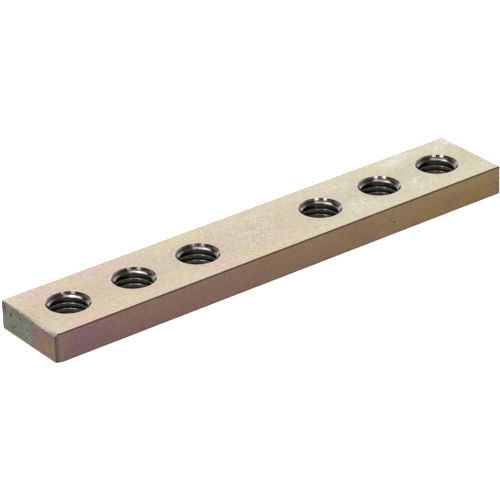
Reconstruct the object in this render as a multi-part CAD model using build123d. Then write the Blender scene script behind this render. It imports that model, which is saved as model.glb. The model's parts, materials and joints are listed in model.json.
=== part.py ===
"""Tapped mounting bar: one piece of flat steel bar with two groups of three threaded holes.

The bar is sheared from 30 x 10 mm flat stock. Seven equally spaced stations lie on its
centreline, and every station but the middle one has a through hole for an M14 x 2 screw. The
hole is drilled to the thread's tapping size and countersunk on both faces. The long edges keep
the small radius of drawn bar. The end at -X shows how it was sheared: the blade rolled over the
corner where it entered, and the upper edge was filed. The other corners are left sharp.

Frame, in millimetres: +X along the bar, +Y across it, +Z up along the holes. The origin is the
middle of the underside.
"""

from build123d import *
from math import radians, tan
import os

# Flat stock
BAR_LENGTH = 180.0
BAR_WIDTH = 30.0
BAR_THICKNESS = 10.0
STOCK_EDGE_RADIUS = 0.4

# Sheared end at -X: the corner at -Y is rolled over, and the upper edge is filed
ROLLOVER_LENGTH = 1.7
ROLLOVER_DEPTH = 0.8
FILED_EDGE = 0.4

# Hole stations, counted from the middle of the bar
STATION_PITCH = 25.0
STATIONS_EACH_SIDE = 3

# Holes for M14 x 2 screws
TAPPING_DIAMETER = 12.0
COUNTERSINK_DIAMETER = 14.7
COUNTERSINK_ANGLE = 90.0

NODE = "tapped_bar"


def hole_stations():
    """X positions of the holes: every station but the middle one."""
    numbers = range(-STATIONS_EACH_SIDE, STATIONS_EACH_SIDE + 1)
    return [number * STATION_PITCH for number in numbers if number != 0]


def sheared_outline():
    """Plan of the bar: a rectangle less the corner that the blade rolled over."""
    end, side = BAR_LENGTH / 2, BAR_WIDTH / 2
    corners = Polyline(
        (ROLLOVER_LENGTH - end, -side),
        (end, -side),
        (end, side),
        (-end, side),
        (-end, ROLLOVER_DEPTH - side),
        close=True,
    )
    return make_face(corners)

def stock_bar():
    """The bar before drilling, standing on the XY plane with its edges broken."""
    bar = extrude(sheared_outline(), BAR_THICKNESS)
    end_face = bar.faces().sort_by(Axis.X)[0]
    bar = chamfer(end_face.edges().sort_by(Axis.Z)[-1], FILED_EDGE)
    long_edges = bar.faces().filter_by(Axis.Z).edges().filter_by(Axis.X)
    return fillet(long_edges, STOCK_EDGE_RADIUS)

def tapping_drill():
    """What one hole removes: the tapping bore, opening into a countersink at either face."""
    bore = TAPPING_DIAMETER / 2
    mouth = COUNTERSINK_DIAMETER / 2
    sink_depth = (mouth - bore) / tan(radians(COUNTERSINK_ANGLE / 2))
    profile = Polyline(
        (0, 0),
        (mouth, 0),
        (bore, sink_depth),
        (bore, BAR_THICKNESS - sink_depth),
        (mouth, BAR_THICKNESS),
        (0, BAR_THICKNESS),
        close=True,
    )
    section = Plane.XZ * make_face(profile)
    return revolve(section, Axis.Z)


def tapped_bar():
    """The finished bar: the stock less one drilled and countersunk hole at each station."""
    drill = tapping_drill()
    cuts = [Pos(x, 0, 0) * drill for x in hole_stations()]
    return stock_bar() - cuts


def main():
    """Build the bar and write it as one STEP file."""
    os.makedirs("parts", exist_ok=True)
    bar = tapped_bar()
    bar.label = NODE
    export_step(bar, f"parts/{NODE}.step")


main()
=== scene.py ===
"""Dresses the tapped mounting bar: its threads, edges, plated finish and studio.

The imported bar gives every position. One piece, modelled here, stands for the plain CAD bar and
adds what the CAD leaves out: the M14 x 2 threads, the filed end and small dents.
Lengths in the dataclasses are millimetres, and the scene is in metres.
"""

from __future__ import annotations

import json
import logging
import math
from collections.abc import Callable, Iterator, Sequence
from contextlib import contextmanager
from dataclasses import dataclass, field
from enum import Enum

import bmesh
import bpy
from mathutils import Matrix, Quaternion, Vector

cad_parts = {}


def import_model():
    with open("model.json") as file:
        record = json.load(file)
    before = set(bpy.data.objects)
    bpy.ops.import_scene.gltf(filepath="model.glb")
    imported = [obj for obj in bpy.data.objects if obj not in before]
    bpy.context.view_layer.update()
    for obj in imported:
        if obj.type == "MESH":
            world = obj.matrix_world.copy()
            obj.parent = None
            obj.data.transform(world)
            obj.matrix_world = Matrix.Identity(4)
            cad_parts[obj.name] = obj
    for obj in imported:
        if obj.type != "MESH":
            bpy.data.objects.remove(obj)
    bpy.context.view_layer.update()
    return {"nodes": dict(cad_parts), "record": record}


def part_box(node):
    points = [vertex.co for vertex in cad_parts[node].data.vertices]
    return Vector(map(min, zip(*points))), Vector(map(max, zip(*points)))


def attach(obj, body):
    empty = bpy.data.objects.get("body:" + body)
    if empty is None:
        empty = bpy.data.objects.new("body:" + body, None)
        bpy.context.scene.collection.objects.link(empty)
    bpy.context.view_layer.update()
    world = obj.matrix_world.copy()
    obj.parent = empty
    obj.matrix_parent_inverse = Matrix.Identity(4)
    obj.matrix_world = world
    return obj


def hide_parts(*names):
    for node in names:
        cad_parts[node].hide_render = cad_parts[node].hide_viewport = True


LOG = logging.getLogger("tapped_bar")
MM = 0.001
Colour = tuple[float, float, float, float]
Triple = tuple[float, float, float]
Item = bpy.types.Object
BLACK: Colour = (0.0, 0.0, 0.0, 1.0)
WHITE: Colour = (1.0, 1.0, 1.0, 1.0)


def paint(red: int, green: int, blue: int) -> Colour:
    """Turn red, green and blue display values, from 0 to 255, into a linear colour."""

    def linear(value: int) -> float:
        """Linear value of one display value."""
        share = value / 255
        return share / 12.92 if share <= 0.04045 else ((share + 0.055) / 1.055) ** 2.4

    return (linear(red), linear(green), linear(blue), 1.0)


# --- shader graphs


class Value:
    """A shader socket on which Python arithmetic adds Math nodes."""

    def __init__(self, graph: Graph, socket: bpy.types.NodeSocket) -> None:
        """Wrap a socket of a graph."""
        self.graph = graph
        self.socket = socket

    def __add__(self, other: Term) -> Value:
        """Sum with a value or number."""
        return self.graph.arithmetic("ADD", self, other)

    __radd__ = __add__

    def __sub__(self, other: Term) -> Value:
        """Difference with a value or number."""
        return self.graph.arithmetic("SUBTRACT", self, other)

    def __rsub__(self, other: Term) -> Value:
        """Difference from a number on the left."""
        return self.graph.arithmetic("SUBTRACT", other, self)

    def __mul__(self, other: Term) -> Value:
        """Product with a value or number."""
        return self.graph.arithmetic("MULTIPLY", self, other)

    __rmul__ = __mul__

    def size(self) -> Value:
        """Value without its sign."""
        return self.graph.arithmetic("ABSOLUTE", self)

    def wave(self) -> Value:
        """Sine of the value."""
        return self.graph.arithmetic("SINE", self)

    def between(self, low: float, high: float) -> Value:
        """Rise smoothly from 0 at low to 1 at high.

        Args:
            low: The value that gives 0. It may be above high, and then the step falls.
            high: The value that gives 1.

        Returns:
            The smooth step.
        """
        settings = {"interpolation_type": "SMOOTHSTEP"}
        ends = (low, high, 0.0, 1.0) if low < high else (high, low, 1.0, 0.0)
        names = ("From Min", "From Max", "To Min", "To Max")
        return self.graph.node("ShaderNodeMapRange", settings, {"Value": self, **dict(zip(names, ends))})


Term = Value | float | Colour | Triple


class Graph:
    """A node tree that is filled by calls. The cores are shares of a spot's reach that are full."""

    patch_core: float = 0.2
    speck_core: float = 0.4

    def __init__(self, tree: bpy.types.NodeTree) -> None:
        """Clear a tree and take it over."""
        self.tree = tree
        tree.nodes.clear()

    def node(
        self,
        kind: str,
        settings: dict[str, object] | None = None,
        inputs: dict[str | int, Term] | None = None,
        output: str | int = 0,
    ) -> Value | None:
        """Add a node.

        Args:
            kind: The node's type.
            settings: Its properties, set before its sockets. "stops" fills a colour ramp.
            inputs: Values or links of its sockets, by name or number.
            output: The socket that is returned.

        Returns:
            The chosen output, or nothing for an output node.
        """
        made = self.tree.nodes.new(kind)
        for name, value in (settings or {}).items():
            if name == "stops":
                self._fill_ramp(made.color_ramp, value)
            else:
                setattr(made, name, value)
        for name, value in (inputs or {}).items():
            socket = made.inputs[name]
            if isinstance(value, Value):
                self.tree.links.new(value.socket, socket)
            else:
                socket.default_value = value
        return Value(self, made.outputs[output]) if made.outputs else None

    @staticmethod
    def _fill_ramp(ramp: bpy.types.ColorRamp, stops: Sequence[tuple[float, Colour]]) -> None:
        """Set the stops of a colour ramp.

        Args:
            ramp: The ramp of a new node.
            stops: Place and colour of each stop, in order.
        """
        ramp.interpolation = "EASE"
        while len(ramp.elements) < len(stops):
            ramp.elements.new(1.0)
        for element, (place, colour) in zip(ramp.elements, stops):
            element.position = place
            element.color = colour

    def arithmetic(self, operation: str, *terms: Term) -> Value:
        """Result of one Math node."""
        return self.node("ShaderNodeMath", {"operation": operation}, dict(enumerate(terms)))

    def vector(self, operation: str, *terms: Term, output: int = 0) -> Value:
        """Result of one Vector Math node: its output 0 is a vector, and 1 is a number."""
        return self.node("ShaderNodeVectorMath", {"operation": operation}, dict(enumerate(terms)), output)

    def mix(self, share: Term, first: Term, second: Term, blend: str = "MIX") -> Value:
        """Mix two colours, with a share of the second over the first."""
        settings = {"data_type": "RGBA", "blend_type": blend}
        return self.node("ShaderNodeMix", settings, {0: share, 6: first, 7: second}, 2)

    def axis(self, place: Value, number: int) -> Value:
        """One coordinate of a vector, counted from 0."""
        return self.node("ShaderNodeSeparateXYZ", inputs={0: place}, output=number)

    def shaded(self, colour: Value, shade: Value) -> Value:
        """Multiply a colour by a number."""
        grey = self.node("ShaderNodeCombineXYZ", inputs={0: shade, 1: shade, 2: shade})
        return self.mix(1.0, colour, grey, "MULTIPLY")

    def about_hole(self, place: Value, pitch: float) -> Value:
        """Coordinates about the nearest hole station's axis, with no height."""
        across = self.arithmetic("WRAP", self.axis(place, 0), pitch / 2, -pitch / 2)
        return self.node("ShaderNodeCombineXYZ", inputs={0: across, 1: self.axis(place, 1)})

    def from_hole(self, place: Value, pitch: float) -> Value:
        """Distance from the nearest hole station's axis, in millimetres."""
        return self.vector("LENGTH", self.about_hole(place, pitch), output=1)

    def facing_hole(self, place: Value, pitch: float, towards: float) -> Value:
        """How far a spot lies toward one side of the nearest hole.

        Args:
            place: The coordinates, in millimetres.
            pitch: The distance between two stations.
            towards: The side, in degrees from the X axis.

        Returns:
            1 on that side, 0 square to it and -1 opposite.
        """
        spot = self.vector("NORMALIZE", self.about_hole(place, pitch))
        side = (math.cos(math.radians(towards)), math.sin(math.radians(towards)), 0.0)
        return self.vector("DOT_PRODUCT", spot, side, output=1)

    def angle_about_hole(self, place: Value, pitch: float) -> Value:
        """Direction from the nearest hole station's axis, in radians."""
        flat = self.about_hole(place, pitch)
        return self.arithmetic("ARCTAN2", self.axis(flat, 1), self.axis(flat, 0))

    def noise(self, place: Value, size_mm: float, detail: float = 2.0, seed: float = 0.0) -> Value:
        """Cloudy noise from 0 to 1, with a number of finer layers. The seed moves the pattern."""
        inputs = {"Vector": place, "W": seed, "Scale": 1 / size_mm, "Detail": detail}
        return self.node("ShaderNodeTexNoise", {"noise_dimensions": "4D"}, inputs)

    def specks(self, place: Value, spacing_mm: float, radius_mm: float) -> Value:
        """Small round spots at random places.

        Args:
            place: The coordinates, in millimetres.
            spacing_mm: The usual distance between two spots.
            radius_mm: Where a spot has faded out.

        Returns:
            1 in a spot and 0 outside.
        """
        inputs = {"Vector": place, "Scale": 1 / spacing_mm}
        distance = self.node("ShaderNodeTexVoronoi", inputs=inputs, output="Distance") * spacing_mm
        return distance.between(radius_mm, radius_mm * self.speck_core)

    def patch(self, place: Value, centre: Sequence[float], reach: Sequence[float]) -> Value:
        """Soft round patch.

        Args:
            place: The coordinates, in millimetres.
            centre: The middle of the patch.
            reach: How far it reaches along each axis.

        Returns:
            1 in the middle, falling to 0 at its reach.
        """
        away = self.vector("SUBTRACT", place, tuple(centre))
        scaled = self.vector("DIVIDE", away, tuple(reach))
        return self.vector("LENGTH", scaled, output=1).between(1.0, self.patch_core)


# --- finishes


@dataclass(frozen=True)
class Stain:
    """A soft patch of tint in the passivation, placed on the bar in millimetres."""

    colour: Colour
    strength: float
    centre: Triple
    reach: Triple


@dataclass(frozen=True)
class Cloud:
    """Drifts of a tint that come and go over a surface."""

    colour: Colour
    strength: float
    size: float
    start: float = 0.48
    full: float = 0.68


@dataclass(frozen=True)
class Plate:
    """Yellow passivated zinc plate, whose thin film shows soft tints.

    The tint runs from one colour to another along the bar, or stays as it is on the left if there
    is no other. It has clouds and stains in it, a fine speckle and a fine grain. Sizes are
    millimetres, and the hole stations lie one pitch apart.
    """

    name: str
    left: Colour
    right: Colour | None = None
    clouds: tuple[Cloud, ...] = ()
    stains: tuple[Stain, ...] = ()
    speckle: float = 0.1
    speckle_size: float = 0.7
    roughness: float = 0.35
    grain: float = 0.2
    grain_size: float = 0.5
    grain_height: float = 0.05
    gloss_spread: float = 0.12
    stretch: float = 1.0
    seed: float = 0.0
    blend_half: float = 85.0
    wander: float = 5.0
    wander_scale: float = 0.22
    pitch: float = 25.0

    def tint(self, graph: Graph, place: Value) -> Value:
        """Colour of the plate before its speckle.

        Args:
            graph: The material's graph.
            place: Object coordinates in millimetres.

        Returns:
            The colour.
        """
        along = graph.axis(place, 0).between(-self.blend_half, self.blend_half)
        colour = graph.mix(along, self.left, self.right or self.left)
        drawn = graph.vector("MULTIPLY", place, (self.stretch, 1.0, 1.0))
        for number, cloud in enumerate(self.clouds):
            mask = graph.noise(drawn, cloud.size, 3.0, self.seed + 7 * number)
            colour = graph.mix(mask.between(cloud.start, cloud.full) * cloud.strength, colour, cloud.colour)
        inputs = {"Vector": place, "Scale": self.wander_scale}
        wander = graph.node("ShaderNodeTexNoise", inputs=inputs, output=1)
        loose = graph.vector("ADD", place, graph.vector("MULTIPLY", wander, (self.wander,) * 3))
        loose = graph.vector("SUBTRACT", loose, (self.wander / 2,) * 3)
        for stain in self.stains:
            mask = graph.patch(loose, stain.centre, stain.reach) * stain.strength
            colour = graph.mix(mask, colour, stain.colour)
        return colour

    def marks(self, graph: Graph, place: Value, colour: Value) -> Value:
        """Lay this surface's own marks over the tint. A plain plate has none."""
        return colour

    def relief(self, graph: Graph, place: Value) -> Value:
        """Height of the grain, from 0 to 1, at a place in millimetres."""
        return graph.noise(place, self.grain_size, 3.0, self.seed + 3)

    def make(self) -> bpy.types.Material:
        """Build the material.

        Returns:
            The new material.
        """
        material = bpy.data.materials.new(self.name)
        material.use_nodes = True
        graph = Graph(material.node_tree)
        metres = graph.node("ShaderNodeTexCoord", output="Object")
        place = graph.vector("DIVIDE", metres, (MM, MM, MM))
        height = self.relief(graph, place)
        speckle = graph.noise(place, self.speckle_size, 4.0, self.seed + 5).between(0.25, 0.75)
        shade = (speckle - 0.5) * self.speckle + 1.0
        colour = self.marks(graph, place, self.tint(graph, place))
        inputs = {"Strength": self.grain, "Distance": self.grain_height * MM, "Height": height}
        bump = graph.node("ShaderNodeBump", inputs=inputs)
        surface = graph.node(
            "ShaderNodeBsdfPrincipled",
            inputs={
                "Base Color": graph.shaded(colour, shade),
                "Metallic": 1.0,
                "Roughness": (speckle - 0.5) * self.gloss_spread + self.roughness,
                "Normal": bump,
            },
        )
        graph.node("ShaderNodeOutputMaterial", inputs={"Surface": surface})
        return material


@dataclass(frozen=True)
class FacePlate(Plate):
    """Plate on the broad faces: tinted rings about the holes, a painted highlight round each mouth, frosted
    drifts and dark specks.
    """

    ring: Colour = BLACK
    ring_strength: float = 0.6
    ring_inner: float = 7.4
    ring_outer: float = 11.5
    ring_patches: float = 9.0
    fade_from: float = 30.0
    fade_full: float = -10.0
    faded: float = 0.3
    # Painted highlight round each mouth: its colour, where it fades out, where it is full, and how strong
    # it is.
    rim_highlight: Colour = WHITE
    rim_highlight_width: float = 0.4
    rim_highlight_core: float = 0.1
    rim_highlight_strength: float = 0.6
    lift: float = 0.08
    lift_from: float = 3.0
    lift_full: float = 12.0
    frosts: tuple[Stain, ...] = ()
    frost_patches: float = 3.0
    crystal_size: float = 0.6
    speck: Colour = BLACK
    speck_spacing: float = 1.25
    speck_radius: float = 0.3
    speck_patches: float = 8.0
    speck_strength: float = 0.75
    crowd: Triple = (-8.0, 0.0, 10.0)
    crowd_reach: Triple = (30.0, 26.0, 30.0)
    uncrowded: float = 0.25

    def marks(self, graph: Graph, place: Value, colour: Value) -> Value:
        """Add the rings, the painted highlight round each mouth, the frost, and the specks that crowd about
        the middle.
        """
        along = graph.axis(place, 0)
        radius = graph.from_hole(place, self.pitch)
        patchy = graph.noise(place, self.ring_patches, 2.0, self.seed + 61).between(0.3, 0.6)
        drilled = along.size().between(self.pitch * 0.45, self.pitch * 0.5)
        fading = along.between(self.fade_from, self.fade_full) * (1.0 - self.faded) + self.faded
        ring = radius.between(self.ring_outer, self.ring_inner) * patchy * drilled * fading
        colour = graph.mix(ring * self.ring_strength, colour, self.ring)

        lift = graph.axis(place, 1).size().between(self.lift_from, self.lift_full) * self.lift + 1.0
        colour = graph.shaded(colour, lift)
        # Painted highlight: a bright line just outside each mouth's rim, where the arris would catch the
        # light.
        rim_highlight = radius.between(self.ring_inner + self.rim_highlight_width, self.ring_inner + self.rim_highlight_core) * drilled
        colour = graph.mix(rim_highlight * self.rim_highlight_strength, colour, self.rim_highlight)

        ragged = graph.noise(place, self.frost_patches, 2.0, self.seed + 67).between(0.35, 0.6)
        crystals = graph.noise(place, self.crystal_size, 3.0, self.seed + 71).between(0.44, 0.58)
        for frost in self.frosts:
            mask = graph.patch(place, frost.centre, frost.reach) * ragged * crystals
            colour = graph.mix(mask * frost.strength, colour, frost.colour)

        crowded = graph.patch(place, self.crowd, self.crowd_reach) * (1.0 - self.uncrowded) + self.uncrowded
        spread = graph.noise(place, self.speck_patches, 1.0, self.seed + 73).between(0.35, 0.5) * crowded
        specks = graph.specks(place, self.speck_spacing, self.speck_radius) * spread
        return graph.mix(specks * self.speck_strength, colour, self.speck)


@dataclass(frozen=True)
class SidePlate(Plate):
    """Plate with painted shade that darkens it toward the underside."""

    low: float = 0.0
    high: float = 10.0
    lower_shade: float = 0.86

    def marks(self, graph: Graph, place: Value, colour: Value) -> Value:
        """Paint shade over the lower part."""
        height = graph.axis(place, 2).between(self.low, self.high)
        shade = height * (1.0 - self.lower_shade) + self.lower_shade
        return graph.shaded(colour, shade)


@dataclass(frozen=True)
class RolledPlate(Plate):
    """Plate on the rolled-over corner, dark where it meets the sheared end."""

    shadow: Colour = BLACK
    end_x: float = -90.0
    shadow_width: float = 1.8
    shadow_strength: float = 0.9

    def marks(self, graph: Graph, place: Value, colour: Value) -> Value:
        """Darken the end's side of the corner."""
        shade = graph.axis(place, 0).between(self.end_x + self.shadow_width, self.end_x)
        return graph.mix(shade * self.shadow_strength, colour, self.shadow)


@dataclass(frozen=True)
class EndPlate(Plate):
    """Plate on a sheared end: a burnished zone where the blade entered, then a torn one."""

    burnished: Colour = BLACK
    burnished_core: Colour = BLACK
    burnished_rim: Colour = BLACK
    filed: Colour = BLACK
    filed_centre: Triple = (-90.0, -11.0, 9.3)
    filed_reach: Triple = (9.0, 5.5, 2.2)
    core_centre: Triple = (-90.0, -10.4, 4.0)
    core_reach: Triple = (9.0, 4.2, 3.6)
    step: float = -1.9
    step_blur: float = 0.25
    step_wander: float = 0.9
    seam: Colour = BLACK
    seam_offset: float = 0.2
    seam_width: float = 0.6
    pit: Colour = BLACK
    pit_spacing: float = 2.1
    pit_radius: float = 0.32

    def marks(self, graph: Graph, place: Value, colour: Value) -> Value:
        """Add the burnished zone, the seam beside it, and specks on the torn one."""
        across = graph.axis(place, 1)
        ragged = graph.noise(place, 1.6, 3.0, self.seed + 13)
        edge = across + (ragged - 0.5) * self.step_wander
        torn = edge.between(self.step - self.step_blur, self.step + self.step_blur)
        seam = (edge - self.step - self.seam_offset).size().between(self.seam_width, 0.0)
        rim = graph.noise(place, 3.0, 2.0, self.seed + 17).between(0.45, 0.62)
        smooth = graph.mix(rim * 0.6, self.burnished, self.burnished_rim)
        filed = graph.patch(place, self.filed_centre, self.filed_reach)
        smooth = graph.mix(filed * 0.9, smooth, self.filed)
        core = graph.patch(place, self.core_centre, self.core_reach)
        smooth = graph.mix(core * 0.8, smooth, self.burnished_core)
        spread = graph.noise(place, 5.0, 1.0, self.seed).between(0.45, 0.6)
        specks = graph.specks(place, self.pit_spacing, self.pit_radius) * spread
        colour = graph.mix(specks * 0.7, colour, self.pit)
        return graph.mix(seam * 0.6, graph.mix(torn, smooth, colour), self.seam)


@dataclass(frozen=True)
class TurnedPlate(Plate):
    """Plate in a countersink, over the chatter marks of the tool, with a painted glint band, painted glints
    on one side's chatter and painted shade on the left holes' far side.
    """

    chatter: int = 60
    hatch_slant: float = 4.0
    chatter_slant: float = 3.0
    line: float = 0.22
    # Colours of the painted glints and of the painted shade.
    glint: Colour = WHITE
    far_shade: Colour = BLACK
    glint_side: float = 53.3
    glint_place: float = 0.12
    glint_width: float = 0.28
    glint_core: float = 0.08
    hatch_turn: float = 55.0

    def marks(self, graph: Graph, place: Value, colour: Value) -> Value:
        """Paint a glint band and glints on one side's hatch of chatter marks, and paint shade over the left
        holes' far side.
        """
        # Painted reflection: a glint band near the sides of each mouth.
        across = graph.facing_hole(place, self.pitch, self.glint_side) - self.glint_place
        colour = graph.mix(across.size().between(self.glint_width, self.glint_core), colour, self.glint)
        angle = graph.angle_about_hole(place, self.pitch)
        radius = graph.from_hole(place, self.pitch)
        # Real chatter marks, painted with glints on one side only.
        hatched = graph.facing_hole(place, self.pitch, self.glint_side + self.hatch_turn).between(0.5, 0.8)
        hatch = (angle * self.chatter + radius * self.hatch_slant).wave().between(-0.4, 0.4)
        colour = graph.mix(hatch * hatched * 0.75, colour, self.glint)
        # Painted shade: dims the far side of the left holes' countersinks.
        left_holes = graph.axis(place, 0).between(self.pitch / 2, -self.pitch / 2)
        far = graph.facing_hole(place, self.pitch, self.glint_side).between(0.82, 0.94)
        return graph.mix(left_holes * far * 0.8, colour, self.far_shade)

    def relief(self, graph: Graph, place: Value) -> Value:
        """Height of the tool's rings and of its chatter."""
        radius = graph.from_hole(place, self.pitch)
        rings = (radius * (math.tau / self.line)).wave()
        angle = graph.angle_about_hole(place, self.pitch)
        patchy = graph.noise(place, 4.0, 1.0, self.seed + 19).between(0.4, 0.6)
        # Mask of the left holes, where the chatter relief is stronger.
        wear_and_sheen = graph.axis(place, 0).between(self.pitch / 2, -self.pitch / 2)
        chatter = (angle * self.chatter + radius * self.chatter_slant).wave() * patchy
        return rings * 0.1 + chatter * (wear_and_sheen * 0.4 + 0.15) + 0.5


@dataclass(frozen=True)
class ThreadPlate(Plate):
    """Plate on the thread: a painted highlight arc and a painted sheen on the outer flanks, painted shade
    on the rest of the thread, and painted shade deeper in the hole.
    """

    # Colours of the painted shade deep in the hole and on the flanks, and of the painted sheen.
    deep_shade: Colour = BLACK
    flank_shade: Colour = BLACK
    wear_and_sheen: Colour = BLACK
    flank_inner: float = 6.15
    flank_outer: float = 6.4
    sheen_side: float = -27.0
    sheen_edge: float = 0.86
    sheen_full: float = 0.96
    highlight_side: float = 43.0
    highlight_edge: float = 0.86
    highlight_full: float = 0.95
    thickness: float = 10.0
    bright_depth: float = 2.2
    dark_depth: float = 3.3

    def marks(self, graph: Graph, place: Value, colour: Value) -> Value:
        """Paint a highlight arc and a sheen on the outer flanks, paint shade on the rest, and paint shade
        deeper in the hole.
        """
        # Painted highlight toward one side, painted sheen toward another, painted shade elsewhere.
        outer = graph.from_hole(place, self.pitch).between(self.flank_inner, self.flank_outer)
        side = graph.facing_hole(place, self.pitch, self.sheen_side)
        wear_and_sheen = side.between(self.sheen_edge, self.sheen_full)
        towards = graph.facing_hole(place, self.pitch, self.highlight_side)
        bright = graph.mix(wear_and_sheen, self.flank_shade, self.wear_and_sheen)
        bright = graph.mix(towards.between(self.highlight_edge, self.highlight_full), bright, colour)
        colour = graph.mix(outer, self.flank_shade, bright)
        # Painted shade that deepens away from both mouths.
        height = graph.axis(place, 2)
        depth = self.thickness / 2 - (height - self.thickness / 2).size()
        return graph.mix(depth.between(self.bright_depth, self.dark_depth), colour, self.deep_shade)


class Surface(Enum):
    """The bar's surfaces, each with a finish of its own, some with painted highlights and painted shade."""

    FACE = FacePlate(
        "plated_face",
        left=paint(221, 204, 179),
        right=paint(221, 215, 188),
        clouds=(
            Cloud(paint(226, 200, 188), 0.5, 14.0),
            Cloud(paint(224, 212, 172), 0.6, 11.0),
            Cloud(paint(216, 212, 190), 0.5, 17.0),
        ),
        stains=(
            Stain(paint(226, 196, 196), 0.8, (-58.0, 14.0, 10.0), (10.0, 5.5, 9.0)),
            Stain(paint(226, 194, 194), 0.7, (-80.0, 11.0, 10.0), (9.0, 8.0, 9.0)),
            Stain(paint(226, 194, 188), 0.7, (-47.0, 11.5, 10.0), (8.0, 5.0, 9.0)),
            Stain(paint(230, 194, 184), 0.7, (-78.0, -12.5, 10.0), (12.0, 4.0, 9.0)),
            Stain(paint(228, 194, 186), 0.7, (-23.0, -10.0, 10.0), (9.0, 6.0, 9.0)),
            Stain(paint(222, 210, 168), 0.7, (-5.0, -12.5, 10.0), (16.0, 4.0, 9.0)),
            Stain(paint(230, 228, 216), 0.7, (68.0, 12.0, 10.0), (12.0, 5.0, 9.0)),
            Stain(paint(226, 214, 172), 0.6, (84.0, 4.0, 10.0), (7.0, 6.0, 9.0)),
        ),
        speckle=0.3,
        speckle_size=0.8,
        roughness=0.36,
        grain=0.5,
        ring=paint(228, 194, 188),
        # Colour of the painted highlight round each mouth.
        rim_highlight=paint(242, 234, 218),
        frosts=(
            Stain(paint(250, 250, 240), 0.8, (37.0, -7.0, 10.0), (8.0, 7.0, 9.0)),
            Stain(paint(250, 250, 240), 0.8, (62.0, -6.0, 10.0), (8.0, 7.0, 9.0)),
            Stain(paint(252, 252, 246), 0.9, (64.0, 10.0, 10.0), (8.0, 6.0, 9.0)),
            Stain(paint(252, 252, 246), 0.9, (86.0, 10.0, 10.0), (9.0, 9.0, 9.0)),
            Stain(paint(244, 244, 232), 0.6, (38.0, 8.0, 10.0), (9.0, 9.0, 9.0)),
            Stain(paint(244, 246, 236), 0.5, (0.0, 2.0, 10.0), (20.0, 14.0, 9.0)),
            Stain(paint(240, 232, 226), 0.4, (-86.0, 12.0, 10.0), (8.0, 6.0, 9.0)),
        ),
        speck=paint(120, 104, 84),
    )
    # The sides take painted shade that darkens them toward the underside.
    SIDE = SidePlate(
        "plated_side",
        left=paint(230, 182, 170),
        right=paint(246, 208, 152),
        clouds=(
            Cloud(paint(226, 174, 176), 0.45, 9.0),
            Cloud(paint(240, 200, 138), 0.55, 7.0),
            Cloud(paint(236, 178, 160), 0.4, 8.0),
        ),
        stains=(
            Stain(paint(218, 168, 190), 0.7, (-80.0, -15.0, 5.0), (15.0, 9.0, 8.0)),
            Stain(paint(244, 204, 128), 0.7, (60.0, -15.0, 2.5), (4.0, 9.0, 2.0)),
            Stain(paint(244, 206, 124), 0.7, (78.0, -15.0, 3.0), (9.0, 9.0, 3.0)),
        ),
        speckle=0.2,
        roughness=0.34,
        grain=0.3,
        stretch=0.45,
        seed=11,
    )
    END = EndPlate(
        "plated_end",
        left=paint(204, 210, 188),
        clouds=(Cloud(paint(196, 212, 202), 0.6, 4.0), Cloud(paint(212, 202, 164), 0.6, 3.0)),
        stains=(
            Stain(paint(170, 152, 134), 0.8, (-90.0, 13.6, 7.5), (4.0, 1.8, 3.4)),
            Stain(paint(188, 184, 150), 0.7, (-90.0, 6.5, 9.0), (4.0, 8.5, 1.6)),
            Stain(paint(206, 198, 144), 0.7, (-90.0, 9.0, 1.0), (4.0, 7.0, 2.0)),
            Stain(paint(188, 206, 206), 0.6, (-90.0, 5.6, 4.6), (4.0, 3.4, 3.0)),
        ),
        speckle=0.34,
        roughness=0.42,
        grain=0.7,
        seed=23,
        seam=paint(190, 170, 184),
        burnished=paint(230, 193, 168),
        burnished_core=paint(236, 206, 140),
        burnished_rim=paint(230, 180, 190),
        filed=paint(198, 172, 176),
        pit=paint(120, 124, 104),
    )
    EDGE = SidePlate(
        "filed_edge",
        left=paint(180, 171, 153),
        right=paint(176, 167, 150),
        clouds=(Cloud(paint(150, 142, 126), 0.6, 1.6), Cloud(paint(222, 210, 206), 0.4, 1.2)),
        stains=(Stain(paint(240, 216, 220), 0.9, (-90.0, -7.5, 9.7), (9.0, 7.5, 9.0)),),
        speckle=0.4,
        speckle_size=0.4,
        roughness=0.4,
        grain=0.6,
        seed=31,
        # The filed edge takes painted shade below the top of its strip.
        low=9.25,
        high=9.8,
        lower_shade=0.7,
    )
    # Painted shade: the long edges' rounds are painted as a dark line.
    ARRIS = Plate(
        "shaded_arris",
        left=paint(112, 88, 82),
        right=paint(108, 90, 72),
        clouds=(Cloud(paint(92, 74, 62), 0.7, 3.0),),
        speckle=0.5,
        speckle_size=0.6,
        roughness=0.4,
        grain=0.5,
        seed=43,
    )
    ROLLED = RolledPlate(
        "plated_rollover",
        left=paint(214, 184, 174),
        clouds=(Cloud(paint(184, 176, 160), 0.6, 3.0), Cloud(paint(196, 160, 168), 0.5, 2.5)),
        speckle=0.2,
        roughness=0.4,
        grain=0.4,
        seed=37,
        shadow=paint(134, 132, 118),
    )
    SINK = TurnedPlate(
        "plated_countersink",
        left=paint(98, 92, 87),
        clouds=(Cloud(paint(86, 72, 72), 0.7, 3.0), Cloud(paint(112, 106, 94), 0.5, 2.0)),
        speckle=0.3,
        speckle_size=0.4,
        roughness=0.13,
        grain=0.3,
        seed=41,
        # Painted glint colour and painted shade colour.
        glint=paint(184, 178, 172),
        far_shade=paint(62, 58, 56),
    )
    THREAD = ThreadPlate(
        "plated_thread",
        # The base colour shows only in the painted highlight arc.
        left=paint(226, 222, 212),
        clouds=(Cloud(paint(208, 200, 196), 0.5, 3.0),),
        roughness=0.2,
        grain=0.15,
        seed=53,
        deep_shade=paint(120, 121, 108),
        flank_shade=paint(92, 86, 82),
        wear_and_sheen=paint(170, 156, 162),
    )
    PIT = Plate(
        "pitted_metal",
        left=paint(110, 112, 96),
        right=paint(96, 76, 64),
        speckle=0.4,
        speckle_size=0.3,
        roughness=0.6,
        grain=0.8,
        seed=59,
    )


# --- modelling


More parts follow.
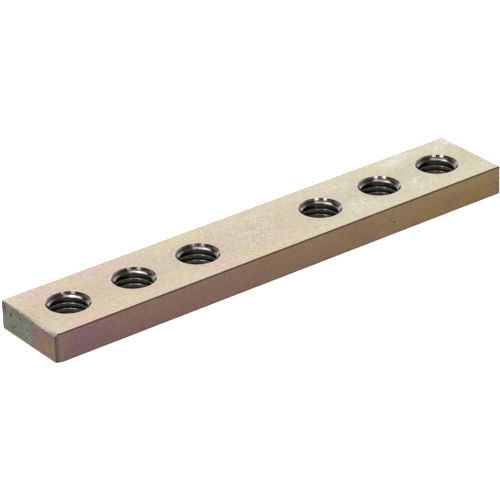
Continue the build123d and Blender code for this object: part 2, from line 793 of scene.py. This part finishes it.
def active() -> Item:
    """The object that operators work on."""
    return bpy.context.view_layer.objects.active


def choose(*objects: Item) -> None:
    """Select only these objects, and make the first one active."""
    bpy.ops.object.select_all(action="DESELECT")
    for item in objects:
        item.select_set(True)
    bpy.context.view_layer.objects.active = objects[0]


def settle(item: Item) -> Item:
    """Apply an object's place, turn and scale to its mesh, and hand it back.

    Args:
        item: The object to settle.

    Returns:
        The same object, at the origin, unturned and unscaled.
    """
    choose(item)
    bpy.ops.object.transform_apply(location=True, rotation=True, scale=True)
    return item


def coat(item: Item, *surfaces: Surface) -> None:
    """Give an object the finishes of these surfaces, in their order."""
    for surface in surfaces:
        item.data.materials.append(bpy.data.materials[surface.value.name])


@contextmanager
def editing(item: Item, kind: str, action: str = "SELECT") -> Iterator[None]:
    """Put one object in edit mode.

    Args:
        item: The object to edit.
        kind: VERT, EDGE or FACE.
        action: SELECT to start with everything selected, DESELECT with nothing.

    Yields:
        Nothing. Object mode comes back at the end.
    """
    choose(item)
    bpy.ops.object.mode_set(mode="EDIT")
    bpy.ops.mesh.select_mode(type=kind)
    bpy.ops.mesh.select_all(action=action)
    yield
    bpy.ops.object.mode_set(mode="OBJECT")


def pick(part: str, wanted: Callable[..., bool]) -> None:
    """Select more of the mesh in edit mode.

    Args:
        part: verts, edges or faces.
        wanted: Says whether one of them is selected.
    """
    mesh = bmesh.from_edit_mesh(active().data)
    for element in filter(wanted, getattr(mesh, part)):
        element.select_set(True)
    bmesh.update_edit_mesh(active().data)


def roughen(reach_mm: float, seed: int) -> None:
    """Shift the selected points at random by up to a distance."""
    bpy.ops.transform.vertex_random(offset=reach_mm * MM, uniform=1.0, normal=0.0, seed=seed)


def apply_modifier(item: Item, kind: str, **settings: object) -> None:
    """Add a modifier and apply it at once.

    Args:
        item: The object to change.
        kind: The modifier's type.
        settings: Its properties.
    """
    choose(item)
    modifier = item.modifiers.new(kind.lower(), kind)
    for name, value in settings.items():
        setattr(modifier, name, value)
    bpy.ops.object.modifier_apply(modifier=modifier.name)


def trace(points: Sequence[tuple[float, float]]) -> Item:
    """Draw an open line in the XZ plane.

    Args:
        points: Radius and height of each point, in millimetres.

    Returns:
        A mesh of edges only.
    """
    bpy.ops.mesh.primitive_plane_add(size=MM, location=(0, 0, 0))
    line = active()
    with editing(line, "VERT"):
        bpy.ops.mesh.merge(type="CENTER")
        radius, height = points[0]
        bpy.ops.transform.translate(value=(radius * MM, 0, height * MM))
        for (start_r, start_z), (end_r, end_z) in zip(points, points[1:]):
            step = ((end_r - start_r) * MM, 0, (end_z - start_z) * MM)
            bpy.ops.mesh.extrude_vertices_move(TRANSFORM_OT_translate={"value": step})
    return line


def repeat(item: Item, places: Sequence[Vector]) -> Item:
    """Copy an object to several places and join the copies.

    Args:
        item: The object at the origin. It is removed.
        places: Where the copies go, in metres.

    Returns:
        One object with all the copies.
    """
    copies = []
    for place in places:
        choose(item)
        bpy.ops.object.duplicate(linked=False)
        bpy.ops.transform.translate(value=place)
        copies.append(settle(active()))
    bpy.data.objects.remove(item)
    choose(*copies)
    bpy.ops.object.join()
    return active()


def cut(item: Item, cutter: Item) -> None:
    """Subtract a cutter, whose finish the cut faces take, and remove the cutter."""
    settings = {"operation": "DIFFERENCE", "solver": "EXACT", "material_mode": "TRANSFER"}
    apply_modifier(item, "BOOLEAN", object=cutter, **settings)
    bpy.data.objects.remove(cutter)


@dataclass(frozen=True)
class Thread:
    """An internal metric thread, as the tap leaves it."""

    major_diameter: float = 14.0
    pitch: float = 2.0
    bore_diameter: float = 12.0
    flank_angle: float = 30.0
    crest_round: float = 0.15
    root_round: float = 0.08
    steps_per_turn: int = 72
    turns: int = 8
    start_angle: float = 207.0
    weld: float = 0.001

    def profile(self) -> list[tuple[float, float]]:
        """Radius and height over one pitch, from the middle of one crest to the next."""
        crest_r, root_r = self.bore_diameter / 2, self.major_diameter / 2
        root_half = self.pitch / 16
        flank_rise = (root_r - crest_r) * math.tan(math.radians(self.flank_angle))
        crest_half = self.pitch / 2 - root_half - flank_rise
        slope = Vector((math.cos(math.radians(self.flank_angle)), math.sin(math.radians(self.flank_angle))))
        crest = Vector((crest_r, crest_half))
        root = Vector((root_r, self.pitch / 2 - root_half))
        up = Vector((0, 1))
        rising = [
            Vector((crest_r, 0)),
            crest - up * self.crest_round,
            crest + (slope - up) * self.crest_round * 0.3,
            crest + slope * self.crest_round,
            root - slope * self.root_round,
            root + up * self.root_round * 0.5,
        ]
        falling = [Vector((point.x, self.pitch - point.y)) for point in reversed(rising)]
        return [(point.x, point.y) for point in rising + falling]

    def tap(self, depth: float) -> Item:
        """Make the solid that the tapped hole removes.

        Args:
            depth: The thickness that the thread runs through, in millimetres.

        Returns:
            A closed solid on the Z axis, longer than the hole at both ends.
        """
        line = trace(self.profile())
        apply_modifier(
            line,
            "SCREW",
            axis="Z",
            angle=math.tau,
            screw_offset=self.pitch * MM,
            steps=self.steps_per_turn,
            render_steps=self.steps_per_turn,
            iterations=self.turns,
        )
        with editing(line, "VERT"):
            bpy.ops.mesh.remove_doubles(threshold=self.weld * MM)
        middle = self.turns * self.pitch * MM / 2
        for above in (False, True):
            with editing(line, "EDGE", "DESELECT"):
                pick("edges", lambda e: e.is_boundary and (e.verts[0].co.z > middle) == above)
                bpy.ops.mesh.extrude_edges_move()
                bpy.ops.mesh.merge(type="CENTER")
        with editing(line, "FACE"):
            bpy.ops.mesh.normals_make_consistent(inside=False)
        line.rotation_euler.z = math.radians(self.start_angle)
        line.location.z = (depth - self.turns * self.pitch) / 2 * MM
        coat(line, Surface.THREAD)
        return settle(line)


@dataclass(frozen=True)
class Dent:
    """A small pit or nick: where it is and how far it reaches, in millimetres."""

    centre: Triple
    reach: Triple
    turn: float = 0.0


@dataclass
class TappedBar:
    """The bar: sheared stock with worn edges, six tapped holes and the marks of handling.

    The tolerance is in millimetres. A face is square to an axis if its normal's part along it is
    over square, and stands upright if its normal's height is under upright.
    """

    low: Vector
    high: Vector
    stations: list[Vector]
    thread: Thread = field(default_factory=Thread)
    rollover_length: float = 1.7
    rollover_depth: float = 0.8
    rollover_blend: float = 1.0
    edge_radius: float = 0.4
    end_break: float = 0.12
    knocked_corner: float = 0.9
    knock_from: Triple = (-1.0, 1.0, 1.3)
    knock_block: float = 4.0
    knock_cuts: int = 9
    knock_roughness: float = 0.06
    knock_seed: int = 3
    filed_far: float = 0.16
    filed_near: float = 0.95
    file_overlap: float = 1.2
    file_height: float = 2.0
    file_cuts: int = 70
    file_roughness: float = 0.14
    file_seed: int = 21
    dent_roughness: float = 0.12
    sink_diameter: float = 14.7
    sink_facets: int = 96
    sharp_angle: float = 35.0
    tolerance: float = 0.01
    square: float = 0.999
    upright: float = 0.01
    dents: tuple[Dent, ...] = (
        Dent((-90.0, 10.0, 6.7), (0.22, 0.5, 0.65), 20),
        Dent((-90.0, 4.7, 7.4), (0.15, 0.5, 0.35), -30),
        Dent((-90.0, 7.2, 4.4), (0.15, 0.35, 0.3)),
        Dent((-90.0, 9.9, 2.5), (0.2, 0.75, 0.4), 25),
        Dent((-90.0, 8.5, 3.1), (0.2, 0.45, 0.4), -15),
        Dent((-90.0, 0.4, 8.1), (0.14, 0.3, 0.25)),
        Dent((-90.0, 0.5, 5.1), (0.18, 0.45, 0.35), 10),
        Dent((-90.0, 1.8, 2.1), (0.18, 0.25, 0.45), -20),
        Dent((-90.0, 13.4, 8.0), (0.15, 0.45, 0.35), 35),
        Dent((43.8, -15.0, 4.5), (0.35, 0.14, 0.3)),
        Dent((-90.0, -8.5, 10.0), (1.1, 0.16, 0.3)),
        Dent((-90.0, 6.5, 10.0), (0.35, 0.6, 0.25)),
        Dent((-90.0, -3.4, 10.0), (0.3, 0.4, 0.3)),
        Dent((-90.0, -2.5, 9.0), (0.18, 0.4, 0.3), 15),
    )

    @property
    def thickness(self) -> float:
        """Thickness of the bar, in millimetres."""
        return (self.high.z - self.low.z) / MM

    def stock(self) -> Item:
        """Make the bar before drilling.

        Returns:
            The undrilled bar, with its rolled-over corner and worn edges.
        """
        size = self.high - self.low
        bpy.ops.mesh.primitive_cube_add(size=1, location=(self.low + self.high) / 2, scale=size)
        bar = settle(active())
        coat(bar, *Surface)
        self.roll_over(bar)
        self.round_long_edges(bar)
        self.finish_faces(bar)
        self.break_ends(bar)
        return bar

    def roll_over(self, bar: Item) -> None:
        """Cut the corner that the shear drew down, and blend it into the side."""
        start = self.low + Vector((self.rollover_length * MM, 0, 0))
        outward = Vector((-self.rollover_depth, -self.rollover_length, 0)).normalized()
        with editing(bar, "EDGE"):
            bpy.ops.mesh.bisect(plane_co=start, plane_no=outward, use_fill=True, clear_outer=True)
        with editing(bar, "EDGE", "DESELECT"):
            near = self.tolerance * MM
            pick("edges", lambda e: all((v.co.xy - start.xy).length < near for v in e.verts))
            bpy.ops.mesh.bevel(offset=self.rollover_blend * MM, segments=6, affect="EDGES")

    def knock_cutter(self) -> Item:
        """Make what a knock took off the upper far corner of the sheared end.

        Returns:
            A block whose lower face is the knocked face.
        """
        bpy.ops.object.select_all(action="DESELECT")
        bpy.ops.mesh.primitive_cube_add(size=self.knock_block * MM, location=(0, 0, 0))
        block = active()
        with editing(block, "EDGE"):
            bpy.ops.mesh.subdivide(number_cuts=self.knock_cuts)
            roughen(self.knock_roughness, self.knock_seed)
        outward = Vector(self.knock_from).normalized()
        corner = Vector((self.low.x, self.high.y, self.high.z))
        block.rotation_mode = "QUATERNION"
        block.rotation_quaternion = outward.to_track_quat("Z", "Y")
        block.location = corner + outward * (self.knock_block - self.knocked_corner) / 2 * MM
        coat(block, Surface.EDGE)
        return settle(block)

    def round_long_edges(self, bar: Item) -> None:
        """Give the long edges the radius of drawn bar."""
        end = self.high.x - self.tolerance * MM
        flat, short = self.tolerance * MM / 10, self.tolerance * MM * 2

        def is_long(edge: bmesh.types.BMEdge) -> bool:
            """Whether an edge bounds a broad face on a long side."""
            middle = (edge.verts[0].co + edge.verts[1].co) / 2
            level = abs(edge.verts[0].co.z - edge.verts[1].co.z) < flat
            outer = min(middle.z - self.low.z, self.high.z - middle.z) < flat
            along = abs(edge.verts[0].co.x - edge.verts[1].co.x) > short
            return level and outer and along and middle.x < end and not edge.is_boundary

        with editing(bar, "EDGE", "DESELECT"):
            pick("edges", is_long)
            bpy.ops.mesh.bevel(offset=self.edge_radius * MM, segments=3, affect="EDGES")

    def break_ends(self, bar: Item) -> None:
        """Take the sharpness off both ends all round."""
        def at_end(edge: bmesh.types.BMEdge) -> bool:
            """Whether an edge bounds one of the end faces."""
            return any(
                all(abs(v.co.x - x) < self.tolerance * MM for v in edge.verts)
                and sum(abs(f.normal.x) > self.square for f in edge.link_faces) == 1
                for x in (self.low.x, self.high.x)
            )

        with editing(bar, "EDGE", "DESELECT"):
            pick("edges", at_end)
            edge = list(Surface).index(Surface.EDGE)
            bpy.ops.mesh.bevel(offset=self.end_break * MM, segments=2, affect="EDGES", material=edge)

    def finish_faces(self, bar: Item) -> None:
        """Give every face of the stock its finish, by the way it points."""
        kinds = list(Surface)
        for face in bar.data.polygons:
            straight = [abs(part) > self.square for part in face.normal]
            if straight[2]:
                surface = Surface.FACE
            elif straight[1]:
                surface = Surface.SIDE
            elif straight[0]:
                surface = Surface.END
            elif abs(face.normal.z) < self.upright:
                surface = Surface.ROLLED
            else:
                # The long edges' rounds take the painted shade of a dark arris.
                surface = Surface.ARRIS
            face.material_index = kinds.index(surface)

    def file_cutter(self) -> Item:
        """Make what filing took off the upper edge of the sheared end, uneven as by hand.

        Returns:
            A thin block whose lower face is the filed face.
        """
        width = (self.high.y - self.low.y) * self.file_overlap
        scale = (self.file_height * 2 * MM, width, self.file_height * MM)
        bpy.ops.mesh.primitive_cube_add(size=1, location=(0, 0, self.file_height / 2 * MM), scale=scale)
        block = settle(active())
        with editing(block, "EDGE", "DESELECT"):
            pick("edges", lambda e: abs(e.verts[0].co.y - e.verts[1].co.y) > width / 2)
            bpy.ops.mesh.subdivide(number_cuts=self.file_cuts)
        with editing(block, "VERT", "DESELECT"):
            pick("verts", lambda v: v.co.z < self.tolerance * MM)
            roughen(self.file_roughness, self.file_seed)
        depth_far, depth_near = self.filed_far / math.sqrt(2), self.filed_near / math.sqrt(2)
        slope = (depth_near - depth_far) * MM / (self.high.y - self.low.y)
        block.rotation_euler = (math.atan(slope), math.radians(-45), 0)
        inward = Vector((1, 0, -1)).normalized()
        corner = Vector((self.low.x, 0, self.high.z))
        block.location = corner + inward * (depth_far + depth_near) / 2 * MM
        coat(block, Surface.EDGE)
        return settle(block)

    def dent_cutter(self) -> Item:
        """Make the pits and nicks, each a small uneven ball.

        Returns:
            One object with all of them.
        """
        balls = []
        for number, dent in enumerate(self.dents):
            bpy.ops.object.select_all(action="DESELECT")
            bpy.ops.mesh.primitive_ico_sphere_add(subdivisions=3, radius=MM, location=(0, 0, 0))
            ball = active()
            with editing(ball, "VERT"):
                roughen(self.dent_roughness, number)
            ball.scale = dent.reach
            ball.location = Vector(dent.centre) * MM
            ball.rotation_euler.x = math.radians(dent.turn)
            balls.append(settle(ball))
        choose(*balls)
        bpy.ops.object.join()
        coat(active(), Surface.PIT)
        return active()

    def countersink(self) -> Item:
        """Make the cone that one mouth removes, pointing down, with the mouth at the origin."""
        over, under = 1.0, 2.0
        mouth = self.sink_diameter / 2
        bpy.ops.object.select_all(action="DESELECT")
        bpy.ops.mesh.primitive_cone_add(
            vertices=self.sink_facets,
            radius1=(mouth - under) * MM,
            radius2=(mouth + over) * MM,
            depth=(over + under) * MM,
            location=(0, 0, (over - under) / 2 * MM),
        )
        coat(active(), Surface.SINK)
        return settle(active())

    def build(self) -> Item:
        """Make the finished bar.

        Returns:
            The piece, with its origin at the row's.
        """
        bar = self.stock()
        cut(bar, self.dent_cutter())
        cut(bar, self.file_cutter())
        cut(bar, self.knock_cutter())
        lower = self.countersink()
        with editing(lower, "FACE"):
            bpy.ops.transform.resize(value=(1, 1, -1), center_override=(0, 0, 0))
            bpy.ops.mesh.normals_make_consistent(inside=False)
        top = Vector((0, 0, self.high.z))
        cut(bar, repeat(self.countersink(), [place + top for place in self.stations]))
        cut(bar, repeat(lower, self.stations))
        cut(bar, repeat(self.thread.tap(self.thickness), self.stations))
        self.smooth(bar)
        bar.name = bar.data.name = "threaded_bar"
        return bar

    def smooth(self, bar: Item) -> None:
        """Shade the bar smooth, with its corners sharp and its flats flat."""
        choose(bar)
        bpy.ops.object.shade_smooth_by_angle(angle=math.radians(self.sharp_angle))
        apply_modifier(bar, "WEIGHTED_NORMAL", mode="FACE_AREA", keep_sharp=True)


# --- studio


@dataclass(frozen=True)
class Softbox:
    """A rectangular light that faces the bar. Angles are degrees, and lengths are metres."""

    name: str
    azimuth: float
    elevation: float
    distance: float
    width: float
    height: float
    watts: float
    mirrored: bool = True

    def place(self, centre: Vector) -> None:
        """Add the light. One that isn't mirrored lights the floor but doesn't show in the metal.

        Args:
            centre: What it faces, in metres.
        """
        away = direction(self.azimuth, self.elevation)
        bpy.ops.object.light_add(type="AREA", location=centre + away * self.distance)
        lamp = active()
        lamp.name = self.name
        lamp.rotation_mode = "QUATERNION"
        lamp.rotation_quaternion = away.to_track_quat("Z", "Y")
        lamp.data.shape = "RECTANGLE"
        lamp.data.size = self.width
        lamp.data.size_y = self.height
        lamp.data.energy = self.watts
        lamp.visible_glossy = self.mirrored


def direction(azimuth: float, elevation: float) -> Vector:
    """Direction towards a viewer who looks along +Y at azimuth 0, in degrees."""
    turn, rise = math.radians(azimuth), math.radians(elevation)
    return Vector((math.sin(turn) * math.cos(rise), -math.cos(turn) * math.cos(rise), math.sin(rise)))


@dataclass(frozen=True)
class Studio:
    """Pale floor, soft surround, lights and camera.

    The sky gives the surround's grey at heights from 0, straight below, to 1, straight above. A
    shade dims it on the camera's side, and a crown does so overhead.
    """

    centre: Vector
    camera_azimuth: float = -36.71
    camera_elevation: float = 27.62
    camera_roll: float = -1.67
    camera_distance: float = 0.9969
    camera_lens: float = 221.75
    sensor: float = 36.0
    aim: Triple = (-3.2, 1.35, -1.54)
    floor_size: float = 8.0
    floor_colour: Colour = paint(246, 246, 246)
    floor_roughness: float = 0.9
    shade: Colour = (0.34, 0.31, 0.29, 1.0)
    shade_from: float = 0.56
    shade_full: float = 0.68
    crown: Colour = (0.6, 0.6, 0.6, 1.0)
    crown_from: float = 0.9
    crown_full: float = 0.96
    sky: tuple[tuple[float, float], ...] = (
        (0.0, 0.22),
        (0.25, 0.28),
        (0.45, 0.22),
        (0.51, 0.9),
        (0.62, 1.0),
        (0.79, 1.0),
        (0.87, 0.5),
        (1.0, 0.5),
    )

    def set_camera(self) -> None:
        """Add the camera and make it the scene's own."""
        away = direction(self.camera_azimuth, self.camera_elevation)
        target = self.centre + Vector(self.aim) * MM
        bpy.ops.object.camera_add(location=target + away * self.camera_distance)
        camera = active()
        camera.rotation_mode = "QUATERNION"
        roll = Quaternion((0, 0, 1), math.radians(self.camera_roll))
        camera.rotation_quaternion = away.to_track_quat("Z", "Y") @ roll
        camera.data.lens = self.camera_lens
        camera.data.sensor_width = self.sensor
        bpy.context.scene.camera = camera

    def set_floor(self) -> None:
        """Add the pale floor. It isn't mirrored in the metal, which would hide the dark sides."""
        bpy.ops.mesh.primitive_plane_add(size=self.floor_size, location=(self.centre.x, self.centre.y, 0))
        floor = active()
        floor.name = "studio_floor"
        material = bpy.data.materials.new("pale_floor")
        material.use_nodes = True
        graph = Graph(material.node_tree)
        inputs = {"Base Color": self.floor_colour, "Roughness": self.floor_roughness}
        surface = graph.node("ShaderNodeBsdfPrincipled", inputs=inputs)
        graph.node("ShaderNodeOutputMaterial", inputs={"Surface": surface})
        floor.data.materials.append(material)
        floor.visible_glossy = False

    def set_surround(self) -> None:
        """Fill the world with a soft surround that is dim below the floor line."""
        world = bpy.data.worlds.new("studio_surround")
        bpy.context.scene.world = world
        world.use_nodes = True
        graph = Graph(world.node_tree)
        sight = graph.node("ShaderNodeTexCoord", output="Generated")
        rise = graph.axis(sight, 2)
        stops = [(height, (grey, grey, grey, 1.0)) for height, grey in self.sky]
        colour = graph.node("ShaderNodeValToRGB", {"stops": stops}, {0: rise * 0.5 + 0.5})
        behind = direction(self.camera_azimuth + 180, 0.0)
        away = graph.vector("DOT_PRODUCT", sight, tuple(behind), output=1)
        shaded = rise.between(self.shade_from, self.shade_full) * away.between(0.6, 0.3)
        colour = graph.mix(shaded, colour, self.shade)
        colour = graph.mix(rise.between(self.crown_from, self.crown_full), colour, self.crown)
        light = graph.node("ShaderNodeBackground", inputs={"Color": colour, "Strength": 1.0})
        graph.node("ShaderNodeOutputWorld", inputs={"Surface": light})

    def set_lights(self) -> None:
        """Add the softboxes."""
        for lamp in (
            Softbox("overhead_softbox", 205.0, 68.0, 1.0, 0.45, 0.45, 0.6),
            Softbox("left_strip", self.camera_azimuth - 39.0, 63.0, 0.5, 0.1, 0.26, 0.72),
            Softbox("right_strip", self.camera_azimuth + 30.7, 62.0, 0.76, 0.145, 0.27, 0.7),
            Softbox("floor_light", 0.0, 89.9, 2.0, 3.0, 3.0, 60.0, mirrored=False),
        ):
            lamp.place(self.centre)

    def build(self) -> None:
        """Set up the whole studio."""
        self.set_camera()
        self.set_floor()
        self.set_surround()
        self.set_lights()
        bpy.context.scene.view_settings.view_transform = "Standard"


# --- main


def hole_stations(record: dict) -> list[Vector]:
    """Where the holes' axes meet the underside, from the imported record's mounts."""
    holes = [mount for mount in record["mounts"] if mount["kind"] == "threaded_hole"]
    return [Vector((mount["pos_m"][0], mount["pos_m"][1], 0)) for mount in holes]


def main() -> None:
    """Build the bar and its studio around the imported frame."""
    logging.basicConfig(level=logging.INFO, format="%(name)s: %(message)s")
    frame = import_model()
    node = next(iter(frame["nodes"]))
    low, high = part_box(node)
    Studio(centre=(low + high) / 2).build()

    for surface in Surface:
        surface.value.make()
    bar = TappedBar(low, high, hole_stations(frame["record"])).build()
    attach(bar, "root")
    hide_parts(node)
    LOG.info("%s has %d faces", bar.name, len(bar.data.polygons))


if __name__ == "__main__":
    main()
